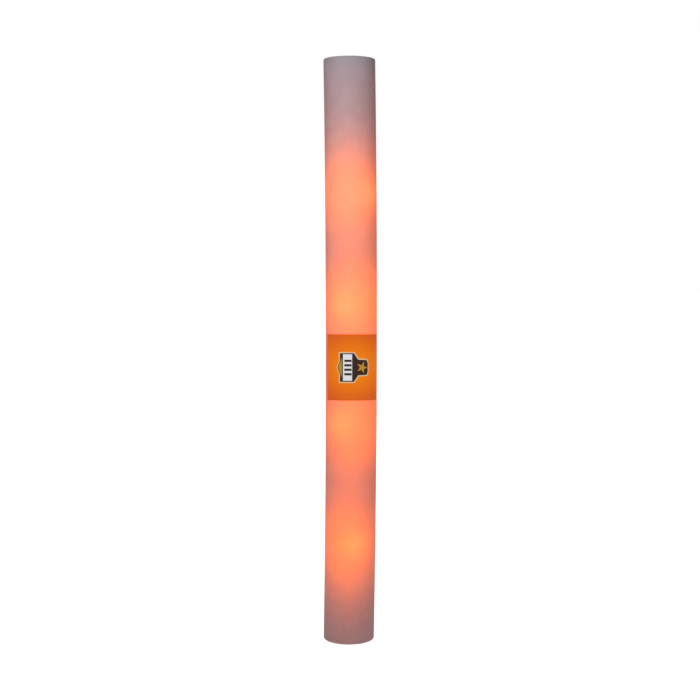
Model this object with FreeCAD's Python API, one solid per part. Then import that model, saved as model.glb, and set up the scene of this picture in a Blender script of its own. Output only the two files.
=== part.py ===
import FreeCAD, Part
import math
import os

# Light-up foam baton: a closed-cell foam sleeve round a light core that draws out of its top end.
# The core is a clear tube of four amber LEDs under a battery and switch unit, whose push button
# sits just inside the sleeve's rim. Millimetres. +Z runs along the baton, and the origin is the
# middle of its plain end, on which it can stand. -Y is the label's side.
# An azimuth is the angle from -Y towards +X, in degrees.

# Foam sleeve, and the foam plug in its plain end
SLEEVE_LENGTH = 400.0
SLEEVE_RADIUS = 17.65
BORE_RADIUS = 8.8
END_ROUND = 1.0
PLUG_RECESS = 0.8
PLUG_TOP = 14.0
PLUG_GAP = 0.05

# Square printed label on the sleeve
LABEL_SIZE = 45.0
LABEL_FILM = 0.12
LABEL_GAP = 0.02
LABEL_CENTRE = 191.5
LABEL_AZIMUTH = 6.5

# Light core: outer limit, clear tube and its foot
CORE_RADIUS = 8.5
TUBE_RADIUS = 6.2
TUBE_WALL = 0.5
TUBE_FIT = 0.05
FOOT_FLANGE = 1.5
FOOT_FLANGE_RADIUS = 8.2
FOOT_SPIGOT = 6.5
FOOT_HOLLOW_RADIUS = 4.6

# Battery case
CASE_TOP = 396.5
CASE_RADIUS = 8.2
CHAMBER_RADIUS = 7.4
FLOOR_THICK = 1.6
SOCKET_DEPTH = 8.0
GUIDE_REACH = 5.95
GUIDE_WIDTH = 1.2
GUIDE_TOP_GAP = 7.6
PILLAR_WIDTH = 3.4
GRIP_RIBS = 12
GRIP_RIB_WIDTH = 1.0

# End cover, its screws and the button
COVER_THICK = 2.1
COVER_CHAMFER = 0.4
SKIRT_DEPTH = 7.2
SKIRT_RADIUS = 7.3
SKIRT_BORE = 5.6
DISH_RADIUS = 5.2
DISH_DEPTH = 0.6
SCREW_OFFSET = 7.1
SCREW_SHANK_RADIUS = 0.66
SCREW_SHANK = 6.0
SCREW_HEAD_RADIUS = 1.15
SCREW_HEAD = 0.8
SCREW_CLEARANCE = 0.06
BUTTON_RADIUS = 3.6
BUTTON_GAP = 0.25
BUTTON_PROUD = 0.7
BUTTON_FLANGE_RADIUS = 5.0
BUTTON_FLANGE = 0.7
BUTTON_DISH = 0.3
BUTTON_DISH_RADIUS = 3.3

# Switch board with its tactile switch, chip and resistors
BOARD_RADIUS = 5.95
BOARD_THICK = 1.0
BOARD_DROP = 6.0
SWITCH_SIDE = 6.0
SWITCH_BASE = 3.2
SWITCH_FLOOR = 1.2
SWITCH_WELL_RADIUS = 2.3
FRAME_SHEET = 0.25
PLUNGER_RADIUS = 1.75
PLUNGER_FLANGE_RADIUS = 2.2
PLUNGER_FLANGE = 0.9
PLUNGER_TOP = 5.0
DOME_RADIUS = 2.1
DOME_RISE = 0.5
DOME_SHEET = 0.1
PIN_Y = 2.25
PIN_HOLE_RADIUS = 0.5

# Three button cells and their contacts
CELL_COUNT = 3
CELL_RADIUS = 5.8
CELL_HEIGHT = 5.4
CELL_CAP_RADIUS = 4.7
CELL_CAP = 0.5
TOP_SPRING_HEIGHT = 3.1
TOP_SPRING_RADIUS = 2.2
BOTTOM_SPRING_HEIGHT = 4.0
BOTTOM_SPRING_RADIUS = 3.4
SPRING_WIRE = 0.25
SPRING_TURNS = 3
SPRING_STEPS = 12
STRIP_SHEET = 0.3
STRIP_WIDTH = 3.0
STRIP_OUTER = 7.05
STRIP_TAIL = 4.3
TAIL_WIDTH = 2.0
TAIL_LENGTH = 4.4
FINGER_REACH = 4.9

# Light string: (height, azimuth) of each LED, from the top
LEDS = ((309.0, 55.0), (234.0, -15.0), (152.5, -26.0), (69.5, 11.0))
LED_BOARD = (8.0, 10.0, 1.0)
LED_BODY_SIDE = 5.0
LED_BODY = 1.6
LENS_RADIUS = 1.95
LENS_FOOT_RADIUS = 1.55
LENS_DEPTH = 0.75
LENS_RISE = 0.5
LENS_FIT = 0.03
WIRE_RADIUS = 0.5
WIRE_SIDE = 2.6
WIRE_GAP = 0.05
WIRE_ON_PAD = 2.5
WIRE_STRAIGHT = 12.0
BEND_SHARE = 0.45

CUT = 1.0  # how far a cutting tool runs past the face that it opens

# Heights worked out from those above
COVER_TOP = CASE_TOP + COVER_THICK
BOARD_TOP = CASE_TOP - BOARD_DROP
BOARD_BOTTOM = BOARD_TOP - BOARD_THICK
STACK_TOP = BOARD_BOTTOM - TOP_SPRING_HEIGHT
STACK_BOTTOM = STACK_TOP - CELL_COUNT * CELL_HEIGHT
FLOOR_TOP = STACK_BOTTOM - BOTTOM_SPRING_HEIGHT - STRIP_SHEET
FLOOR_BOTTOM = FLOOR_TOP - FLOOR_THICK
CASE_BOTTOM = FLOOR_BOTTOM - SOCKET_DEPTH
TUBE_BOTTOM = PLUG_TOP + FOOT_FLANGE
TUBE_BORE = TUBE_RADIUS - TUBE_WALL
FRAME_TOP = BOARD_TOP + SWITCH_BASE + FRAME_SHEET

Z_AXIS = FreeCAD.Vector(0, 0, 1)
ORIGIN = FreeCAD.Vector(0, 0, 0)


def disc(radius, bottom, top, x=0.0, y=0.0):
    """A solid cylinder along Z between two heights."""
    return Part.makeCylinder(radius, top - bottom, FreeCAD.Vector(x, y, bottom))


def ring(outer, inner, bottom, top):
    """A tube along Z between two heights."""
    return disc(outer, bottom, top).cut(disc(inner, bottom - CUT, top + CUT))


def block(low, high):
    """A box between two opposite corners."""
    low = FreeCAD.Vector(*low)
    size = FreeCAD.Vector(*high) - low
    return Part.makeBox(size.x, size.y, size.z, low)


def turned(shape, azimuth):
    """A copy of the shape, turned about Z."""
    copy = shape.copy()
    copy.rotate(ORIGIN, Z_AXIS, azimuth)
    return copy


def joined(shapes):
    """The shapes fused into one solid."""
    return shapes[0].multiFuse(shapes[1:]).removeSplitter()


def ball_through(rim_radius, rim, top):
    """A ball on the Z axis, from its top down through a rim of one radius at one height."""
    rise = top - rim
    radius = (rim_radius**2 + rise**2) / (2 * rise)
    return Part.makeSphere(radius, FreeCAD.Vector(0, 0, top - radius))


def circles_at(shape, height, radius):
    """The shape's round edges of one radius at one height."""
    return [
        edge
        for edge in shape.Edges
        if isinstance(edge.Curve, Part.Circle)
        and abs(edge.Curve.Radius - radius) < 0.01
        and abs(edge.BoundBox.ZMin - height) < 0.01
        and abs(edge.BoundBox.ZMax - height) < 0.01
    ]


def rounded_path(points):
    """Straight runs through the points, joined by tangent arcs as large as the runs allow."""
    edges = []
    start = points[0]
    for before, corner, after in zip(points, points[1:], points[2:]):
        back = (before - corner).normalize()
        ahead = (after - corner).normalize()
        half_turn = (math.pi - back.getAngle(ahead)) / 2
        trim = BEND_SHARE * min((before - corner).Length, (after - corner).Length)
        radius = trim / math.tan(half_turn)
        arc_start = corner + back * trim
        arc_end = corner + ahead * trim
        inward = (back + ahead).normalize()
        middle = corner + inward * (radius / math.cos(half_turn) - radius)
        edges.append(Part.LineSegment(start, arc_start).toShape())
        edges.append(Part.Arc(arc_start, middle, arc_end).toShape())
        start = arc_end
    edges.append(Part.LineSegment(start, points[-1]).toShape())
    return Part.Wire(edges)


def round_wire(points, radius):
    """A round wire along a rounded path."""
    path = rounded_path(points)
    section = Part.Wire([Part.Circle(points[0], points[1] - points[0], radius).toShape()])
    return path.makePipeShell([section], True, True)


def coil_spring(radius, bottom, height):
    """A round-wire helical spring between two heights."""
    steps = SPRING_TURNS * SPRING_STEPS
    rise = height - 2 * SPRING_WIRE
    points = []
    for step in range(steps + 1):
        angle = 2 * math.pi * step / SPRING_STEPS
        level = bottom + SPRING_WIRE + rise * step / steps
        points.append(FreeCAD.Vector(radius * math.cos(angle), radius * math.sin(angle), level))
    return round_wire(points, SPRING_WIRE)


def foam_sleeve():
    sleeve = ring(SLEEVE_RADIUS, BORE_RADIUS, 0, SLEEVE_LENGTH)
    rims = circles_at(sleeve, 0, SLEEVE_RADIUS) + circles_at(sleeve, SLEEVE_LENGTH, SLEEVE_RADIUS)
    return sleeve.makeFillet(END_ROUND, rims)


def foam_plug():
    return disc(BORE_RADIUS - PLUG_GAP, PLUG_RECESS, PLUG_TOP)


def front_label():
    """A thin film that wraps part of the way round the sleeve."""
    inner = SLEEVE_RADIUS + LABEL_GAP
    sweep = math.degrees(LABEL_SIZE / inner)
    bottom = LABEL_CENTRE - LABEL_SIZE / 2
    film = Part.makeCylinder(
        inner + LABEL_FILM, LABEL_SIZE, FreeCAD.Vector(0, 0, bottom), Z_AXIS, sweep
    )
    film = film.cut(disc(inner, bottom - CUT, bottom + LABEL_SIZE + CUT))
    return turned(film, LABEL_AZIMUTH - 90 - sweep / 2)


def clear_tube():
    return ring(TUBE_RADIUS, TUBE_BORE, TUBE_BOTTOM, FLOOR_BOTTOM)


def tube_foot():
    """The cap that closes the tube's lower end and rests on the foam plug."""
    flange = disc(FOOT_FLANGE_RADIUS, PLUG_TOP, TUBE_BOTTOM)
    spigot = disc(TUBE_BORE - TUBE_FIT, TUBE_BOTTOM, TUBE_BOTTOM + FOOT_SPIGOT)
    hollow = disc(FOOT_HOLLOW_RADIUS, TUBE_BOTTOM, TUBE_BOTTOM + FOOT_SPIGOT + CUT)
    return joined([flange, spigot]).cut(hollow)


def battery_case():
    """The tubular case: chamber above, socket for the clear tube below."""
    shell = disc(CASE_RADIUS, CASE_BOTTOM, CASE_TOP)
    grip_rib = block(
        (-GRIP_RIB_WIDTH / 2, -CORE_RADIUS - CUT, CASE_BOTTOM),
        (GRIP_RIB_WIDTH / 2, -CASE_RADIUS + CUT / 2, CASE_TOP),
    ).common(disc(CORE_RADIUS, CASE_BOTTOM, CASE_TOP))
    ribs = [turned(grip_rib, 360 / GRIP_RIBS * i) for i in range(GRIP_RIBS)]
    shell = joined([shell] + ribs)
    shell = shell.cut(disc(CHAMBER_RADIUS, FLOOR_TOP, CASE_TOP + CUT))
    shell = shell.cut(disc(TUBE_RADIUS + TUBE_FIT, CASE_BOTTOM - CUT, FLOOR_BOTTOM))
    wall_middle = (CHAMBER_RADIUS + CASE_RADIUS) / 2

    def inner_rib(width, top):
        return block((-width / 2, -wall_middle, FLOOR_TOP), (width / 2, -GUIDE_REACH, top))

    guides = [turned(inner_rib(GUIDE_WIDTH, CASE_TOP - GUIDE_TOP_GAP), a) for a in (45, 135, 225, 315)]
    pillars = [turned(inner_rib(PILLAR_WIDTH, CASE_TOP), a) for a in (90, 270)]
    shell = joined([shell] + guides + pillars)
    for side in (-1, 1):
        pilot = SCREW_SHANK_RADIUS + SCREW_CLEARANCE
        shank_end = COVER_TOP - SCREW_HEAD - SCREW_SHANK
        shell = shell.cut(disc(pilot, shank_end - CUT, CASE_TOP + CUT, side * SCREW_OFFSET))
        slot_low = (-TAIL_WIDTH / 2 - 0.1, STRIP_TAIL - 0.1, FLOOR_BOTTOM - CUT)
        slot_high = (TAIL_WIDTH / 2 + 0.1, STRIP_TAIL + STRIP_SHEET + 0.1, FLOOR_TOP + CUT)
        shell = shell.cut(turned(block(slot_low, slot_high), 90 + side * 90))
    return shell


def end_cover():
    """The lid over the case: button hole, screw seats, and a skirt that carries the board."""
    lid = disc(CORE_RADIUS, CASE_TOP, COVER_TOP)
    lid = lid.makeChamfer(COVER_CHAMFER, circles_at(lid, COVER_TOP, CORE_RADIUS))
    skirt_bottom = CASE_TOP - SKIRT_DEPTH
    skirt = ring(SKIRT_RADIUS, SKIRT_BORE, skirt_bottom, CASE_TOP)
    skirt = skirt.cut(disc(BOARD_RADIUS + 0.1, skirt_bottom - CUT, BOARD_TOP))
    notch_width = PILLAR_WIDTH + 0.4
    notch = block(
        (-CORE_RADIUS, -notch_width / 2, skirt_bottom - CUT), (CORE_RADIUS, notch_width / 2, CASE_TOP)
    )
    cover = joined([lid, skirt.cut(notch)])
    hole = BUTTON_RADIUS + BUTTON_GAP
    cover = cover.cut(disc(hole, CASE_TOP - CUT, COVER_TOP + CUT))
    dish = Part.makeCone(hole, DISH_RADIUS, DISH_DEPTH, FreeCAD.Vector(0, 0, COVER_TOP - DISH_DEPTH))
    cover = cover.cut(dish)
    for side in (-1, 1):
        x = side * SCREW_OFFSET
        seat = COVER_TOP - SCREW_HEAD - 0.3
        cover = cover.cut(disc(SCREW_SHANK_RADIUS + 0.14, CASE_TOP - CUT, COVER_TOP + CUT, x))
        cover = cover.cut(disc(SCREW_HEAD_RADIUS + 0.1, seat, COVER_TOP + CUT, x))
    return cover


def cover_screws():
    """Two cross-head screws, each a solid of its own."""
    seat = COVER_TOP - SCREW_HEAD - 0.3
    head = disc(SCREW_HEAD_RADIUS, seat, seat + SCREW_HEAD)
    shank = disc(SCREW_SHANK_RADIUS, seat - SCREW_SHANK + 0.3, seat)
    screw = joined([head, shank])
    slot = block((-0.75, -0.16, seat + 0.35), (0.75, 0.16, seat + SCREW_HEAD + CUT))
    screw = screw.cut(slot).cut(turned(slot, 90))
    screws = []
    for side in (-1, 1):
        copy = turned(screw, 20 * side)
        copy.translate(FreeCAD.Vector(side * SCREW_OFFSET, 0, 0))
        screws.append(copy)
    return Part.makeCompound(screws)


def push_button():
    """A dished button with a flange that keeps it under the cover."""
    bottom = BOARD_TOP + PLUNGER_TOP + 0.05
    flange_top = CASE_TOP - 0.1
    top = COVER_TOP + BUTTON_PROUD
    stem = disc(BUTTON_RADIUS, bottom, top)
    flange = disc(BUTTON_FLANGE_RADIUS, flange_top - BUTTON_FLANGE, flange_top)
    hollow = ball_through(BUTTON_DISH_RADIUS, top, top + BUTTON_DISH)
    hollow = hollow.mirror(FreeCAD.Vector(0, 0, top), Z_AXIS)
    return joined([stem, flange]).cut(hollow)


def circuit_board():
    board = disc(BOARD_RADIUS, BOARD_BOTTOM, BOARD_TOP)
    for x in (-1, 1):
        for y in (-1, 1):
            hole_x = x * (SWITCH_SIDE / 2 + 0.15)
            board = board.cut(disc(PIN_HOLE_RADIUS, BOARD_BOTTOM - CUT, BOARD_TOP + CUT, hole_x, y * PIN_Y))
    return board


def switch_base():
    half = SWITCH_SIDE / 2
    base = block((-half, -half, BOARD_TOP), (half, half, BOARD_TOP + SWITCH_BASE))
    return base.cut(disc(SWITCH_WELL_RADIUS, BOARD_TOP + SWITCH_FLOOR, BOARD_TOP + SWITCH_BASE + CUT))


def switch_frame():
    """The sheet-metal cover that holds the switch together, with a tab down each side."""
    half = SWITCH_SIDE / 2
    low = BOARD_TOP + SWITCH_BASE
    plate = block((-half, -half - FRAME_SHEET, low), (half, half + FRAME_SHEET, FRAME_TOP))
    tabs = [
        block((-1.5, min(y, y + s * FRAME_SHEET), low - 1.8), (1.5, max(y, y + s * FRAME_SHEET), low))
        for s, y in ((-1, -half), (1, half))
    ]
    frame = joined([plate] + tabs)
    return frame.cut(disc(PLUNGER_RADIUS + 0.2, low - CUT, FRAME_TOP + CUT))


def switch_pins():
    """Four solder pins down the switch's sides and through the board."""
    half = SWITCH_SIDE / 2
    pin = block((half, PIN_Y - 0.35, BOARD_BOTTOM - 0.6), (half + 0.3, PIN_Y + 0.35, BOARD_TOP + 1.5))
    pins = []
    for x in (-1, 1):
        for y in (-1, 1):
            copy = pin.copy()
            if y < 0:
                copy = copy.mirror(ORIGIN, FreeCAD.Vector(0, 1, 0))
            if x < 0:
                copy = copy.mirror(ORIGIN, FreeCAD.Vector(1, 0, 0))
            pins.append(copy)
    return Part.makeCompound(pins)


def switch_dome():
    """The thin snap dome that pushes the plunger back."""
    low = BOARD_TOP + SWITCH_FLOOR
    top = low + DOME_RISE + DOME_SHEET
    outer = ball_through(DOME_RADIUS, low, top)
    inner = ball_through(DOME_RADIUS - DOME_SHEET, low, low + DOME_RISE)
    return outer.common(disc(DOME_RADIUS + CUT, low, top + CUT)).cut(inner)


def switch_plunger():
    top = BOARD_TOP + PLUNGER_TOP
    flange_low = BOARD_TOP + SWITCH_FLOOR + DOME_RISE + DOME_SHEET + 0.1
    stem = disc(PLUNGER_RADIUS, flange_low, top)
    stem = stem.makeChamfer(0.25, circles_at(stem, top, PLUNGER_RADIUS))
    return joined([stem, disc(PLUNGER_FLANGE_RADIUS, flange_low, flange_low + PLUNGER_FLANGE)])


def driver_chip():
    """A six-leg chip beside the switch."""
    low = BOARD_TOP
    body = block((-1.45, 3.6, low + 0.1), (1.45, 5.0, low + 1.1))
    legs = []
    for x in (-0.95, 0.0, 0.95):
        for y_low, y_high in ((3.35, 3.6), (5.0, 5.25)):
            legs.append(block((x - 0.2, y_low, low), (x + 0.2, y_high, low + 0.5)))
    return joined([body] + legs)


def chip_resistors():
    """Two small resistors beside the switch, each a solid of its own."""
    low = BOARD_TOP
    chips = [block((x - 0.8, -4.6, low), (x + 0.8, -3.8, low + 0.45)) for x in (-1.3, 1.3)]
    return Part.makeCompound(chips)


def button_cell(index):
    """One cell, its smaller negative cap downwards. Index 1 is the lowest."""
    low = STACK_BOTTOM + (index - 1) * CELL_HEIGHT
    can = disc(CELL_RADIUS, low + CELL_CAP, low + CELL_HEIGHT)
    rims = circles_at(can, low + CELL_HEIGHT, CELL_RADIUS) + circles_at(can, low + CELL_CAP, CELL_RADIUS)
    can = can.makeFillet(0.35, rims)
    return joined([can, disc(CELL_CAP_RADIUS, low, low + CELL_CAP)])


def negative_spring():
    return coil_spring(BOTTOM_SPRING_RADIUS, FLOOR_TOP + STRIP_SHEET, BOTTOM_SPRING_HEIGHT)


def positive_spring():
    return coil_spring(TOP_SPRING_RADIUS, STACK_TOP, TOP_SPRING_HEIGHT)


def contact_strip():
    """A flat strip up the chamber's wall: finger to the board above, solder tail below."""
    half = STRIP_WIDTH / 2
    wall = STRIP_OUTER - STRIP_SHEET
    finger_low = BOARD_BOTTOM - 1.5
    finger_tip = BOARD_BOTTOM - 0.05
    foot = FLOOR_TOP
    return joined(
        [
            block((-half, wall, foot), (half, STRIP_OUTER, finger_low + STRIP_SHEET)),
            block((-half, FINGER_REACH, finger_low), (half, STRIP_OUTER, finger_low + STRIP_SHEET)),
            block((-half, FINGER_REACH, finger_low), (half, FINGER_REACH + STRIP_SHEET, finger_tip)),
            block((-half, STRIP_TAIL, foot), (half, STRIP_OUTER, foot + STRIP_SHEET)),
            block(
                (-TAIL_WIDTH / 2, STRIP_TAIL, foot - TAIL_LENGTH),
                (TAIL_WIDTH / 2, STRIP_TAIL + STRIP_SHEET, foot + STRIP_SHEET),
            ),
        ]
    )


def output_strip():
    return contact_strip()


def ground_strip():
    """The strip on the label's side, with the round pad under the negative spring."""
    pad = disc(STRIP_TAIL - 0.3, FLOOR_TOP, FLOOR_TOP + STRIP_SHEET)
    bridge = block((-1.5, 0, FLOOR_TOP), (1.5, STRIP_TAIL + 0.1, FLOOR_TOP + STRIP_SHEET))
    return turned(joined([contact_strip(), bridge, pad]), 180)


def on_string(shape, led):
    """Places a shape that was made facing +Z at the origin so that it faces the LED's azimuth."""
    height, azimuth = led
    copy = shape.copy()
    copy.rotate(ORIGIN, FreeCAD.Vector(1, 0, 0), 90)
    copy.rotate(ORIGIN, Z_AXIS, azimuth)
    copy.translate(FreeCAD.Vector(0, 0, height))
    return copy


def led_board(led):
    width, length, thick = LED_BOARD
    board = block((-width / 2, -length / 2, -thick / 2), (width / 2, length / 2, thick / 2))
    return on_string(board, led)


def led_body(led):
    """The white package, with a conical well for the lens."""
    half = LED_BODY_SIDE / 2
    front = LED_BOARD[2] / 2
    body = block((-half, -half, front), (half, half, front + LED_BODY))
    foot = FreeCAD.Vector(0, 0, front + LED_BODY - LENS_DEPTH)
    well = Part.makeCone(LENS_FOOT_RADIUS, LENS_RADIUS, LENS_DEPTH, foot)
    return on_string(body.cut(well), led)


def led_lens(led):
    """The amber lens that fills the well and domes over it."""
    face = LED_BOARD[2] / 2 + LED_BODY
    rim = LENS_RADIUS - LENS_FIT
    foot = FreeCAD.Vector(0, 0, face - LENS_DEPTH + LENS_FIT)
    plug = Part.makeCone(LENS_FOOT_RADIUS - LENS_FIT, rim, LENS_DEPTH - LENS_FIT, foot)
    dome = ball_through(rim, face, face + LENS_RISE)
    cap = dome.common(disc(rim, face, face + LENS_RISE + CUT))
    return on_string(joined([plug, cap]), led)


def pad_point(led, side, height):
    """Where a wire lies on the back of an LED's board, on one side, at a height."""
    azimuth = math.radians(led[1])
    x = side * WIRE_SIDE
    y = LED_BOARD[2] / 2 + WIRE_GAP + WIRE_RADIUS
    return FreeCAD.Vector(
        x * math.cos(azimuth) - y * math.sin(azimuth),
        x * math.sin(azimuth) + y * math.cos(azimuth),
        height,
    )


def string_wires(side):
    """The insulated wires of one polarity: from the strip's tail to the first LED, then on down."""
    tail_y = side * (STRIP_TAIL - WIRE_GAP - WIRE_RADIUS)
    tail_low = FLOOR_TOP - TAIL_LENGTH
    first = LEDS[0]
    half = LED_BOARD[1] / 2
    run_in = half + WIRE_STRAIGHT / 2
    lead = [
        FreeCAD.Vector(0, tail_y, tail_low + WIRE_ON_PAD),
        FreeCAD.Vector(0, tail_y, tail_low - WIRE_STRAIGHT / 2),
        pad_point(first, side, first[0] + run_in),
        pad_point(first, side, first[0] + half - WIRE_ON_PAD),
    ]
    wires = [round_wire(lead, WIRE_RADIUS)]
    for above, below in zip(LEDS, LEDS[1:]):
        route = [
            pad_point(above, side, above[0] - half + WIRE_ON_PAD),
            pad_point(above, side, above[0] - run_in),
            pad_point(below, side, below[0] + run_in),
            pad_point(below, side, below[0] + half - WIRE_ON_PAD),
        ]
        wires.append(round_wire(route, WIRE_RADIUS))
    return Part.makeCompound(wires)


def make_parts():
    """Every sub-part, by the name of its node."""
    parts = {
        "foam_sleeve": foam_sleeve(),
        "foam_plug": foam_plug(),
        "front_label": front_label(),
        "clear_tube": clear_tube(),
        "tube_foot": tube_foot(),
        "battery_case": battery_case(),
        "end_cover": end_cover(),
        "cover_screws": cover_screws(),
        "push_button": push_button(),
        "circuit_board": circuit_board(),
        "switch_base": switch_base(),
        "switch_frame": switch_frame(),
        "switch_pins": switch_pins(),
        "switch_dome": switch_dome(),
        "switch_plunger": switch_plunger(),
        "driver_chip": driver_chip(),
        "chip_resistors": chip_resistors(),
        "negative_spring": negative_spring(),
        "positive_spring": positive_spring(),
        "output_strip": output_strip(),
        "ground_strip": ground_strip(),
        "positive_wires": string_wires(1),
        "negative_wires": string_wires(-1),
    }
    for index in range(1, CELL_COUNT + 1):
        parts[f"button_cell_{index}"] = button_cell(index)
    for index, led in enumerate(LEDS, start=1):
        parts[f"led_board_{index}"] = led_board(led)
        parts[f"led_body_{index}"] = led_body(led)
        parts[f"led_lens_{index}"] = led_lens(led)
    return parts


def main():
    os.makedirs("parts", exist_ok=True)
    for name, shape in make_parts().items():
        if not shape.isValid() or shape.Volume <= 0:
            raise ValueError(f"{name} isn't a valid solid")
        shape.exportStep(f"parts/{name}.step")
        print(f"{name}: {len(shape.Solids)} solid(s), {shape.Volume:.2f} mm3")


if __name__ == "__main__":
    main()
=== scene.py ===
"""Looks of a light-up foam baton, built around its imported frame. Metres, +Z up, -Y the label's side."""

import math

import bmesh
import bpy
from bpy.props import FloatProperty, FloatVectorProperty, IntProperty, PointerProperty
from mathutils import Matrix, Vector


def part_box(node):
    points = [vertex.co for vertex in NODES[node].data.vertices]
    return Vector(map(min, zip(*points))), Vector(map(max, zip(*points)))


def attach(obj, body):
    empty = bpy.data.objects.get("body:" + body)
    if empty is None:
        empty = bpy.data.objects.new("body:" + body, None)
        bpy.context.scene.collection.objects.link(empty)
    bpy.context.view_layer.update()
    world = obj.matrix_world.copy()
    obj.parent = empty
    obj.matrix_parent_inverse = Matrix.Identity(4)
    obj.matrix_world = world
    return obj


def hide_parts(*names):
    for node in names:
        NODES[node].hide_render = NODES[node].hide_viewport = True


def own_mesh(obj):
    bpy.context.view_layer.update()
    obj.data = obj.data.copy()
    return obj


bl_info = {
    "name": "Light-up Foam Baton",
    "version": (1, 0, 0),
    "blender": (4, 5, 0),
    "location": "3D View > Sidebar > Baton",
    "description": "Gives the packed frame of a light-up foam baton its foam, print, plastics and metals",
    "category": "Add Mesh",
}

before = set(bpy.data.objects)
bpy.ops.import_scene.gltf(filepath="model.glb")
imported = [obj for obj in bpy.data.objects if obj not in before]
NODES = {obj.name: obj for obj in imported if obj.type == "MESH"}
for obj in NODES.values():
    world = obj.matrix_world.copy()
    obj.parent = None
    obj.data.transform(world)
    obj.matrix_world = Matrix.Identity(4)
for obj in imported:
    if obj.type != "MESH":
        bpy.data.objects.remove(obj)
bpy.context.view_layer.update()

MM = 0.001
MERGE = 0.001 * MM
SIDEBAR = "Baton"

# Places and sizes that come from the frame
SLEEVE_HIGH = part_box("foam_sleeve")[1]
PLUG_LOW, PLUG_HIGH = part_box("foam_plug")
LABEL_LOW, LABEL_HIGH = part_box("front_label")
PINS_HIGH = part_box("switch_pins")[1]
BUTTON_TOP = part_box("push_button")[1].z
BOARD_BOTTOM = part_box("circuit_board")[0].z
STRIP_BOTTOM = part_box("output_strip")[0].z
CELL_NAMES = sorted(name for name in NODES if name.startswith("button_cell_"))
LAMP_COUNT = sum(name.startswith("led_lens_") for name in NODES)
LAMPS = [sum(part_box(f"led_lens_{i + 1}"), Vector()) / 2 for i in range(LAMP_COUNT)]
LABEL_CENTRE = (LABEL_LOW.z + LABEL_HIGH.z) / 2
LABEL_HEIGHT = LABEL_HIGH.z - LABEL_LOW.z

# Colours of finishes that a user has no need to change
WHITE = (1.0, 1.0, 1.0)
BLACK = (0.0, 0.0, 0.0)
CELL_STEEL = (0.78, 0.76, 0.72)
NICKEL = (0.76, 0.72, 0.66)
ZINC = (0.66, 0.67, 0.68)
PIN_TIN = (0.7, 0.7, 0.68)
WIRE_TIN = (0.72, 0.72, 0.7)
GASKET_NYLON = (0.12, 0.13, 0.14)
SWITCH_BLACK = (0.022, 0.022, 0.024)
CHIP_BLACK = (0.02, 0.02, 0.022)
RESISTOR_BLACK = (0.05, 0.05, 0.06)
RED_INSULATION = (0.5, 0.03, 0.02)
BLACK_INSULATION = (0.02, 0.02, 0.02)
GREEN_RESIST = (0.02, 0.16, 0.06)
GREEN_TRACK = (0.06, 0.3, 0.12)
WHITE_RESIST = ((0.8, 0.8, 0.78), (0.86, 0.86, 0.84))
HOUSING_WHITE = ((0.78, 0.78, 0.74), (0.84, 0.84, 0.8))
GLASS_FIBRE = (0.5, 0.46, 0.24)
CLEAR_TINT = (0.8, 0.88, 0.89)
LENS_GLOW = (1.0, 0.62, 0.2)
LENS_CHIP = (1.0, 0.86, 0.5)
FLOOR_GREY = (0.9, 0.9, 0.9)


# ---- Sizes and colours that a user may change


def length(name, description, default, low=0.0):
    return FloatProperty(
        name=name, description=description, default=default, min=low, precision=5, unit="LENGTH"
    )


def share(name, description, default, high=1.0):
    return FloatProperty(
        name=name, description=description, default=default, min=0.0, max=high, subtype="FACTOR"
    )


def colour(name, description, default):
    return FloatVectorProperty(
        name=name, description=description, default=default, min=0.0, max=1.0, subtype="COLOR", size=3
    )


def bearing(name, description, degrees):
    """An angle, given in degrees."""
    return FloatProperty(
        name=name, description=description, default=math.radians(degrees), unit="ROTATION"
    )


def watts(name, description, default):
    return FloatProperty(name=name, description=description, default=default, min=0.0, unit="POWER")


def lamp_values(name, description, values, turned=False):
    """One number for each lamp, in the lamps' own order. Turned ones are angles, given in degrees."""
    default = [math.radians(value) for value in values] if turned else values
    unit = "ROTATION" if turned else "NONE"
    return FloatVectorProperty(
        name=name, description=description, default=default, size=LAMP_COUNT, unit=unit
    )


class FoamSettings(bpy.types.PropertyGroup):
    """The foam sleeve and the plug in its plain end."""

    length: length("Length", "Length of the sleeve", SLEEVE_HIGH.z)
    radius: length("Radius", "Outer radius of the sleeve", SLEEVE_HIGH.x)
    bore: length("Bore radius", "Radius of the sleeve's bore", PLUG_HIGH.x + 0.05 * MM)
    rim: length("Rim round", "Radius of the round on both outer rims", 1.0 * MM)
    bow: length("Bow", "How far the sleeve's middle stands off the line between its ends", 1.6 * MM)
    relief: length("Relief", "Depth of the dents between the foam's cells", 0.05 * MM)
    cell: length("Cell size", "Width of one foam cell", 1.2 * MM, 0.1 * MM)
    ripple: length("Ripple", "Depth of the extrusion's ripples", 0.06 * MM)
    seed: IntProperty(name="Seed", description="Seed of the foam's unevenness", default=7, min=0)
    colour: colour("Foam colour", "Colour of the unlit foam", (0.692, 0.65, 0.728))
    roughness: share("Roughness", "Roughness of the foam's skin", 0.78)
    # Painted light: blue taken out of the foam's base colour under the painted glow spots
    painted_spot_tint: share("Warming", "Blue that the foam takes out of the light at a bright spot", 0.2)


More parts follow.
